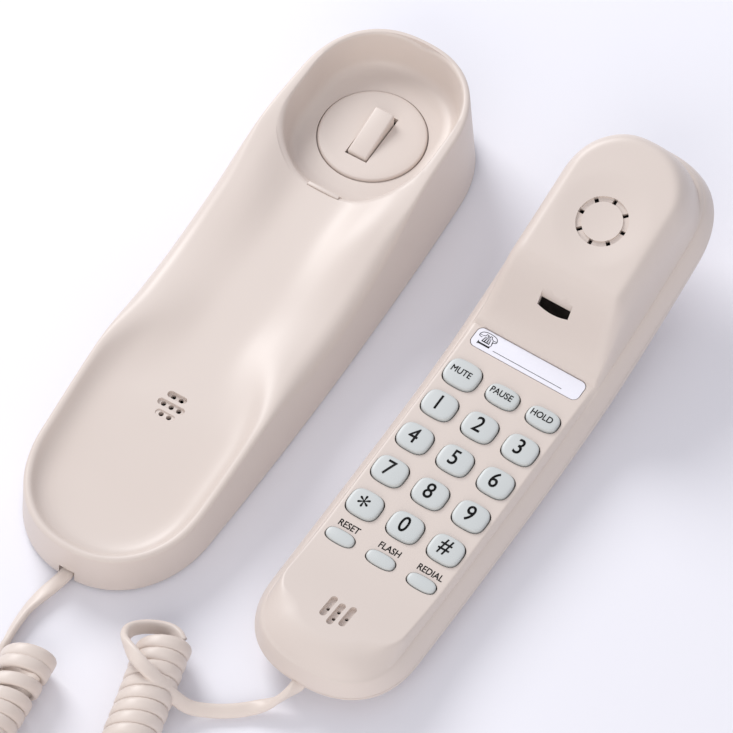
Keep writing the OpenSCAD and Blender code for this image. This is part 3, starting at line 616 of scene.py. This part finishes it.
hs_outline = half_outline(-HS_HALF_LOW, HS_HALF_HIGH, HS_WIDTH, 2.4, 2.4, 0.015, 98.5, 260)
hs_y = hs_outline[:, 1]
mouthness = smoothstep((-74 - hs_y) / 19)
edge_in = 3.4 - 1.2 * mouthness
tongue_in = 4.9 + 6.6 * mouthness
front_rings = []
for depth in (24, 19, 14, 10, 7):
    ring = inset(hs_outline, depth)
    front_rings.append(whole(ring, crown(ring[:, 0], ring[:, 1], depth, 2.5) - 2.2))
front_rings.append(whole(inset(hs_outline, 4.6), parting(hs_y) + 3.0))
front_rings.append(whole(inset(hs_outline, 2.1), parting(hs_y) + 1.2))
front_rings.append(whole(inset(hs_outline, 2.0), parting(hs_y)))
front_rings.append(whole(inset(hs_outline, 0.3), parting(hs_y)))
front_rings.append(whole(inset(hs_outline, 0.06), parting(hs_y) + 0.14))
for t in (0.05, 0.14, 0.28, 0.45, 0.64, 0.83, 0.96, 1):
    z = parting(hs_y) + 0.3 + (EDGE_RISE - 0.3) * (1 - (1 - t) ** 1.5)
    front_rings.append(whole(inset(hs_outline, edge_in * t), z))
for t in (0.1, 0.22, 0.36, 0.52, 0.68, 0.84, 1):
    depth = edge_in + (tongue_in - edge_in) * t
    ring = inset(hs_outline, depth)
    low = parting(hs_y) + EDGE_RISE
    rise = math.sin(math.radians(90 * t)) ** 0.9
    front_rings.append(whole(ring, low + (crown(ring[:, 0], ring[:, 1], depth) - low) * rise))
for t in (0.02, 0.04, 0.065, 0.09, 0.12, 0.15, 0.18, 0.21, 0.245, 0.28, 0.32, 0.36, 0.4, 0.44, 0.48,
          0.53, 0.58, 0.64, 0.7, 0.76, 0.82, 0.88, 0.94, 1):
    depth = tongue_in + (23.9 - tongue_in) * t
    ring = inset(hs_outline, depth)
    front_rings.append(whole(ring, crown(ring[:, 0], ring[:, 1], depth)))
handset_front = extrude_rings("handset_front_moulding", front_rings)

KEY_DX = 13.7
PANEL_AT, PANEL_HIGH, PANEL_TILT = -30.8, 17.1, 1.8
row_places = [-25.7, -13, 0, 13, 26, 38.1]
DIAL, PILL, SHORT, MUTE = (10.1, 8.6, 3.1), (8.9, 4.3, 2.7), (10.0, 6.5, 2.9), (10.7, 8.9, 3.1)
row_sizes = [PILL, DIAL, DIAL, DIAL, DIAL, SHORT]
on_panel = (Matrix.Translation(Vector((0, PANEL_AT, PANEL_HIGH)) * MM)
            @ Matrix.Rotation(math.radians(PANEL_TILT), 4, "X"))
on_pad = (Matrix.Translation(Vector((0, PAD_AT, PAD_HIGH - DISH_DEEP)) * MM)
          @ Matrix.Rotation(math.radians(PAD_TILT), 4, "X"))
MIC_AT, MIC_HIGH, MIC_TILT = -78.6, 19.55, -7
on_mouthpiece = (Matrix.Translation(Vector((0, MIC_AT, MIC_HIGH)) * MM)
                 @ Matrix.Rotation(math.radians(MIC_TILT), 4, "X"))
keys = {"key_reset": (-1, 0), "key_flash": (0, 0), "key_redial": (1, 0), "key_star": (-1, 1),
        "key_0": (0, 1), "key_hash": (1, 1), "key_7": (-1, 2), "key_8": (0, 2), "key_9": (1, 2),
        "key_4": (-1, 3), "key_5": (0, 3), "key_6": (1, 3), "key_1": (-1, 4), "key_2": (0, 4),
        "key_3": (1, 4), "key_mute": (-1, 5), "key_pause": (0, 5), "key_hold": (1, 5)}


def size_of(name):
    return MUTE if name == "key_mute" else row_sizes[keys[name][1]]


cuts = []
for name, (column, row) in keys.items():
    length, width, squareness = size_of(name)
    ring = outline_points(length + 0.8, width + 0.7, squareness)
    cut = extrude_rings(name + "_hole", [[(x, y, z) for x, y in ring] for z in (-6, 6)])
    cut.data.transform(on_panel @ Matrix.Translation(Vector((column * KEY_DX, row_places[row], 0)) * MM))
    cuts.append(cut)
CARD = (36.6, 6.7)
CARD_AT = 51.7


def rounded_plate(name, length, width, radius, low, high, per_corner=8):
    """A flat plate with round corners about the origin, in millimetres."""
    ring = []
    for k in range(4 * per_corner):
        quarter = k // per_corner
        a = math.radians(-90 + quarter * 90 + 90 * (k % per_corner) / (per_corner - 1))
        x = (length / 2 - radius) * (1 if quarter in (0, 1) else -1)
        y = (width / 2 - radius) * (1 if quarter in (1, 2) else -1)
        ring.append((x + radius * math.cos(a), y + radius * math.sin(a)))
    return extrude_rings(name, [[(x, y, z) for x, y in ring] for z in (low, high)])


cut = rounded_plate("card_recess", CARD[0] + 0.5, CARD[1] + 0.5, 2.1, -1.0, 6)
cut.data.transform(on_panel @ Matrix.Translation(Vector((0, CARD_AT, 0)) * MM))
cuts.append(cut)
for across, shift, length in ((-3.2, 0.5, 7.8), (0, -0.6, 8.4), (3.2, 0.5, 7.8)):
    cut = rounded_bar("mic_slot", length, 2.1, -1.5, 4, (across, shift), "Y")
    cut.data.transform(on_mouthpiece)
    cuts.append(cut)
carve(handset_front, cuts)
cuts = []
for across, shift in ((-3.1, (0.3,)), (0, (-1.7, 1.0)), (3.1, (0.3,))):
    for y in shift:
        cut = cylinder("mic_hole", 0.55, -6, 2, (across, y), 20)
        cut.data.transform(on_mouthpiece)
        cuts.append(cut)
SLOT_AT, SLOT_HALF_WIDTH, RELIEF_TILT = 34.7, 5.15, 52
slot_ring = [(-SLOT_HALF_WIDTH, 1.25)] + [(x, -1.25 - 0.5 * (1 - (x / SLOT_HALF_WIDTH) ** 2))
                                          for x in np.linspace(-SLOT_HALF_WIDTH, SLOT_HALF_WIDTH, 11)]
slot_ring.append((SLOT_HALF_WIDTH, 1.25))
cut = extrude_rings("hanger_slot", [[(x, y + SLOT_AT, z) for x, y in slot_ring] for z in (15, 60)])
cuts.append(cut)
relief = block("slot_relief", (-7.5, 7.5), (-5, 5), (-9, -1.2))
relief.data.transform(Matrix.Translation(Vector((0, SLOT_AT, 31)) * MM)
                      @ Matrix.Rotation(math.radians(RELIEF_TILT), 4, "X"))
RING_IN, RING_OUT = 6.1, 7.75
groove_rings = [[(r * math.cos(math.radians(5 * k)), r * math.sin(math.radians(5 * k)), z)
                 for k in range(72)]
                for r, z in ((RING_OUT, -0.35), (RING_OUT, 4), (RING_IN, 4), (RING_IN, -0.35),
                             (RING_OUT, -0.35))]
cut = extrude_rings("receiver_groove", groove_rings, close_first=False, close_last=False)
pick(cut)
bpy.ops.object.mode_set(mode="EDIT")
bpy.ops.mesh.select_all(action="SELECT")
bpy.ops.mesh.remove_doubles(threshold=0.000001)
bpy.ops.mesh.normals_make_consistent(inside=False)
bpy.ops.object.mode_set(mode="OBJECT")
cut.data.transform(on_pad)
carve(handset_front, cuts)
carve(handset_front, [relief])
carve(handset_front, [cut])
cuts = []
for k in range(8):
    cut = block("receiver_slot", (RING_IN - 0.05, RING_OUT + 0.05), (-0.62, 0.62), (-6, 3))
    cut.data.transform(on_pad @ Matrix.Rotation(math.radians(45 * k), 4, "Z"))
    cuts.append(cut)
carve(handset_front, cuts)
handset_front.data.transform(handset_place)
wear(handset_front, abs_shell)
shade(handset_front)
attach(handset_front, "handset")
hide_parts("handset_front")

# ---- Handset: back shell ----
# The lower half: a plain rounded ABS belly, clipped and screwed to the front from below.


def belly_height(ring, depth):
    full = (1 - (1 - np.clip(depth / 24.8, 0, 1)) ** 2.8) ** (1 / 2.8)
    return parting(ring[:, 1]) - 0.12 + (belly(ring[:, 1]) - parting(ring[:, 1]) + 0.12) * full


back_rings = []
for depth in (24, 18, 12, 8, 5, 3.4):
    ring = inset(hs_outline, depth)
    back_rings.append(whole(ring, belly_height(ring, depth - 2.4) + 1.9))
back_rings.append(whole(inset(hs_outline, 2.0), parting(hs_y) - 0.12))
back_rings.append(whole(inset(hs_outline, 0.3), parting(hs_y) - 0.12))
back_rings.append(whole(inset(hs_outline, 0.06), parting(hs_y) - 0.26))
for depth in (0, 0.02, 0.08, 0.2, 0.45, 0.85, 1.4, 2.1, 3, 4.2, 5.6, 7.2, 9, 11, 13, 15, 17, 19, 21.5, 24):
    ring = inset(hs_outline, depth)
    z = belly_height(ring, depth) - (0.42 if depth == 0 else 0)
    back_rings.append(whole(ring, np.minimum(z, parting(hs_y) - 0.42)))
handset_back = extrude_rings("handset_back_moulding", back_rings)
screw_places = ((16.5, -70, 3.2), (-16.5, -70, 3.2), (16, 31, 5.4), (-16, 31, 5.4))
carve(handset_back, [cylinder("screw_recess", 2.6, -4, high, (x, y), 40) for x, y, high in screw_places])
handset_back.data.transform(handset_place)
wear(handset_back, abs_shell)
shade(handset_back)
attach(handset_back, "handset")
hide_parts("handset_back")

# ---- Keys and their legends ----
# Eighteen pale blue-grey keys moulded in ABS, each with a domed top and a soft edge. Their
# legends are pad-printed in black; the three slim keys have theirs on the shell above them.
PROUD, EDGE, DOME = 1.35, 0.55, 0.2
key_abs = new_material("moulded_abs_blue_grey")
place = add_node(key_abs, "TexCoord")
spark = add_node(key_abs, "TexNoise", [("Vector", place, "Object")], Scale=2600, Detail=2)
drift = add_node(key_abs, "TexNoise", [("Vector", place, "Object")], Scale=90, Detail=1)
tint = add_node(key_abs, "MixRGB", [("Fac", drift, "Fac")],
                Color1=colour("C8CDCD"), Color2=colour("CCD0CF"))
grain = add_node(key_abs, "Bump", [("Height", spark, "Fac")], Strength=0.08, Distance=0.00003)
finish_material(key_abs, add_node(key_abs, "BsdfPrincipled",
                                  [("Base Color", tint, "Color"), ("Normal", grain, "Normal")],
                                  Roughness=0.38, IOR=1.53))
ink = new_material("pad_print_black")
place = add_node(ink, "TexCoord")
film = add_node(ink, "TexNoise", [("Vector", place, "Object")], Scale=1500, Detail=2)
tone = add_node(ink, "MixRGB", [("Fac", film, "Fac")], Color1=colour("08090A"), Color2=colour("0F1011"))
finish_material(ink, add_node(ink, "BsdfPrincipled", [("Base Color", tone, "Color")],
                              Roughness=0.65, IOR=1.35))


def dome(x, y, length, width):
    """Height of a key's top above its edge."""
    r = (np.abs(2 * x / length) ** 2.4 + np.abs(2 * y / width) ** 2.4) ** (1 / 2.4)
    return DOME * (1 - np.clip(r, 0, 1) ** 2)


# A capital's height in the built-in typeface, as a share of the type's size.
CAPITAL = 0.73


def print_words(name, words, height, narrow=0.9, bold=0.05):
    """Lettering as a flat mesh about the origin, its capitals the given height."""
    clear_selection()
    bpy.ops.object.text_add()
    text = bpy.context.object
    text.data.body = words
    text.data.align_x, text.data.align_y = "CENTER", "CENTER"
    text.data.size = 1
    text.data.resolution_u = 6
    bpy.ops.object.convert(target="MESH")
    text = bpy.context.object
    text.name = name
    low = np.min([v.co for v in text.data.vertices], axis=0)
    high = np.max([v.co for v in text.data.vertices], axis=0)
    scale = height / CAPITAL * MM
    for v in text.data.vertices:
        v.co = ((v.co.x - (low[0] + high[0]) / 2) * scale * narrow,
                (v.co.y - (low[1] + high[1]) / 2) * scale, 0)
    plain_data = text.data.copy()
    for shift in ((bold, 0), (0, bold), (bold, bold)):
        clear_selection()
        again = text.copy()
        again.data = plain_data.copy()
        bpy.context.scene.collection.objects.link(again)
        lift = (shift[0] + shift[1]) * 0.05
        again.data.transform(Matrix.Translation(Vector((shift[0], shift[1], lift)) * MM))
        again.select_set(True)
        text.select_set(True)
        bpy.context.view_layer.objects.active = text
        bpy.ops.object.join()
    pick(text)
    bpy.ops.object.mode_set(mode="EDIT")
    bpy.ops.mesh.select_all(action="SELECT")
    bpy.ops.mesh.remove_doubles(threshold=0.0000001)
    bpy.ops.mesh.quads_convert_to_tris()
    bpy.ops.mesh.subdivide(number_cuts=3)
    bpy.ops.mesh.normals_make_consistent(inside=False)
    bpy.ops.object.mode_set(mode="OBJECT")
    if sum(p.normal.z for p in text.data.polygons) < 0:
        text.data.flip_normals()
    return text


legends = {"key_star": "*", "key_hash": "#", "key_mute": "MUTE", "key_pause": "PAUSE", "key_hold": "HOLD"}
legends.update({f"key_{digit}": str(digit) for digit in range(10)})
caps = {}
for size in (DIAL, SHORT, PILL, MUTE):
    length, width, squareness = size
    rings = []
    steps = [(0.0, -3.2), (0.0, PROUD - DOME - EDGE)]
    steps += [(EDGE * (1 - math.cos(math.radians(a))), PROUD - DOME - EDGE + EDGE * math.sin(math.radians(a)))
              for a in (18, 36, 54, 70)]
    for depth, z in steps:
        ring = outline_points(length - 2 * depth, width - 2 * depth, squareness)
        rings.append([(x, y, z) for x, y in ring])
    for share in (0.86, 0.74, 0.6, 0.45, 0.3, 0.14):
        ring = outline_points((length - EDGE) * share, (width - EDGE) * share, squareness)
        rings.append([(x, y, PROUD - DOME + dome(x, y, length - EDGE, width - EDGE)) for x, y in ring])
    caps[size] = extrude_rings("key_cap", rings)
for name, (column, row) in keys.items():
    size = size_of(name)
    cap = caps[size].copy()
    cap.data = caps[size].data.copy()
    cap.name = cap.data.name = name + "_cap"
    bpy.context.scene.collection.objects.link(cap)
    spot = handset_place @ on_panel @ Matrix.Translation(Vector((column * KEY_DX, row_places[row], 0)) * MM)
    cap.data.transform(spot)
    wear(cap, key_abs)
    shade(cap, 50)
    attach(cap, name)
    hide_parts(name)
    if name in legends:
        word = legends[name]
        if len(word) > 1:
            text = print_words(name + "_legend", word, 2.2, 0.86, 0.07)
        elif word == "*":
            text = print_words(name + "_legend", word, 6.4, 0.95, 0.09)
        else:
            text = print_words(name + "_legend", word, 5.3, 0.84, 0.1)
        for v in text.data.vertices:
            x, y = v.co.x / MM - 0.5, v.co.y / MM + 0.25
            on_cap = PROUD - DOME + float(dome(x, y, size[0] - EDGE, size[1] - EDGE))
            v.co = Vector((x, y, on_cap + 0.05)) * MM
        text.data.transform(spot)
        wear(text, ink)
        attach(text, name)
for size in caps:
    bpy.data.objects.remove(caps[size])
for column, word in ((-1, "RESET"), (0, "FLASH"), (1, "REDIAL")):
    text = print_words(word.lower() + "_legend", word, 2.2, 0.86, 0.09)
    for v in text.data.vertices:
        x, y = v.co.x / MM + column * KEY_DX + 0.2, v.co.y / MM + row_places[0] + 4.4
        s = y * math.cos(math.radians(PANEL_TILT)) + PANEL_AT
        v.co = Vector((x, s, float(crown(np.array([x]), np.array([s]), np.array([20.0]))[0]) + 0.035)) * MM
    text.data.transform(handset_place)
    wear(text, ink)
    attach(text, "handset")

# ---- Number card ----
# A white card with a printed telephone sign and a writing line, in a recess above the keys. The clear acrylic
# window that snaps into the recess over it is hidden and not rebuilt.
card_paper = new_material("coated_card_white")
place = add_node(card_paper, "TexCoord")
fibre = add_node(card_paper, "TexNoise", [("Vector", place, "Object")], Scale=1800, Detail=3)
tone = add_node(card_paper, "MixRGB", [("Fac", fibre, "Fac")],
                Color1=colour("ECECF6"), Color2=colour("F2F2FA"))
finish_material(card_paper, add_node(card_paper, "BsdfPrincipled", [("Base Color", tone, "Color")],
                                     Roughness=0.3, IOR=1.49, Coat_Weight=0.4, Coat_Roughness=0.08))
card_spot = handset_place @ on_panel @ Matrix.Translation(Vector((0, CARD_AT, 0)) * MM)
number_card = rounded_plate("number_card_face", CARD[0], CARD[1], 1.9, -0.9, -0.05)
number_card.data.transform(card_spot)
wear(number_card, card_paper)
shade(number_card)
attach(number_card, "handset")
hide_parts("number_card", "card_window")
sign = print_words("telephone_sign", "\u260e", 3.6, 1.0, 0.02)
sign.data.transform(card_spot @ Matrix.Translation(Vector((-14.2, 0.2, -0.03)) * MM))
wear(sign, ink)
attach(sign, "handset")
ink_line = rounded_plate("writing_line", 23.4, 0.16, 0.05, 0.0, 0.02)
ink_line.data.transform(card_spot @ Matrix.Translation(Vector((0.9, -1.95, -0.03)) * MM))
wear(ink_line, ink)
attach(ink_line, "handset")

# ---- Carried-over hidden parts ----
# Boards, screws, feet and springs keep their solids and only take their finishes.


def plain(name, code, roughness, metallic=0.0, scale=600):
    """A material with a little variation in its tone and a fine grain."""
    material = new_material(name)
    place = add_node(material, "TexCoord")
    noise = add_node(material, "TexNoise", [("Vector", place, "Object")], Scale=scale, Detail=3)
    darker = [c * 0.86 for c in colour(code)[:3]] + [1]
    tone = add_node(material, "MixRGB", [("Fac", noise, "Fac")], Color1=colour(code), Color2=darker)
    bump = add_node(material, "Bump", [("Height", noise, "Fac")], Strength=0.1, Distance=0.00005)
    return finish_material(material, add_node(material, "BsdfPrincipled", [("Base Color", tone, "Color"),
                           ("Normal", bump, "Normal")], Roughness=roughness, Metallic=metallic))


finishes = {
    "base_plate": plain("moulded_abs_underside", "D8CBC2", 0.6),
    "rubber_feet": plain("cast_rubber_dark", "2A2A2C", 0.8),
    "base_screws": plain("zinc_plated_steel", "B9BCC0", 0.35, 1),
    "hook_spring": plain("drawn_spring_steel", "A4A6AA", 0.3, 1),
    "hook_switch": plain("black_nylon", "1C1C1E", 0.55),
    "base_pcb": plain("solder_mask_green", "1E5A36", 0.4),
    "ballast_plate": plain("bare_sheet_steel", "85878B", 0.45, 1),
    "jack_contacts": plain("gilded_brass", "D8B45A", 0.25, 1),
    "line_jack": plain("jack_nylon", "4A4642", 0.5),
    "receiver_gasket": plain("foam_rubber_black", "202022", 0.9),
    "microphone": plain("drawn_aluminium_can", "BDBEC0", 0.3, 1),
    "keypad_mat": plain("silicone_grey", "8A8C90", 0.7),
    "cord_clamp_base": plain("pvc_grommet_beige", "D6C9C0", 0.5),
    "receiver_leads": plain("hookup_wire_red", "B01512", 0.4)}
finishes["handset_screws"] = finishes["base_screws"]
finishes["ringer"] = finishes["receiver"] = finishes["hook_switch"]
finishes["handset_pcb"] = finishes["base_pcb"]
finishes["mic_boot"] = finishes["receiver_gasket"]
finishes["cord_clamp_handset"] = finishes["cord_clamp_base"]
for name, material in finishes.items():
    wear(nodes[name], material)

# ---- Table and light ----
# A pale table that runs out of sight, a soft light from the upper left and a broader one of
# much the same power from the front, so that the shadows stay faint.
clear_selection()
bpy.ops.mesh.primitive_plane_add(size=6)
table = bpy.context.object
table.name = "table"
table_finish = new_material("matt_table_pale")
place = add_node(table_finish, "TexCoord")
cloud = add_node(table_finish, "TexNoise", [("Vector", place, "Object")], Scale=3, Detail=2)
tone = add_node(table_finish, "MixRGB", [("Fac", cloud, "Fac")],
                Color1=colour("EDEDF4"), Color2=colour("F0F0F7"))
finish_material(table_finish, add_node(table_finish, "BsdfPrincipled", [("Base Color", tone, "Color")],
                                       Roughness=0.6))
wear(table, table_finish)


def soft_light(name, place, size, power, tint):
    lamp = bpy.data.objects.new(name, bpy.data.lights.new(name, "AREA"))
    bpy.context.scene.collection.objects.link(lamp)
    lamp.data.shape, lamp.data.size, lamp.data.energy = "DISK", size, power
    lamp.data.color = colour(tint)[:3]
    lamp.location = place
    lamp.rotation_euler = (Vector((0.03, 0, 0)) - lamp.location).to_track_quat("-Z", "Y").to_euler()
    return lamp


KEY_LIGHT_SIZE, KEY_LIGHT_WATTS = 0.6, 8.0
FRONT_LIGHT_SIZE, FRONT_LIGHT_WATTS = 1.5, 8.5
ROOM_BRIGHTNESS = 0.64
soft_light("key_light", (-0.74, 0.45, 0.72), KEY_LIGHT_SIZE, KEY_LIGHT_WATTS, "FFFFFF")
soft_light("fill_light", (0.35, -1.2, 0.6), FRONT_LIGHT_SIZE, FRONT_LIGHT_WATTS, "FFFAF4")
world = bpy.data.worlds.new("studio")
world.use_nodes = True
world.node_tree.nodes["Background"].inputs["Color"].default_value = colour("F4F4FB")
world.node_tree.nodes["Background"].inputs["Strength"].default_value = ROOM_BRIGHTNESS
bpy.context.scene.world = world
bpy.context.scene.view_settings.view_transform = "Standard"
bpy.context.scene.view_settings.look = "None"
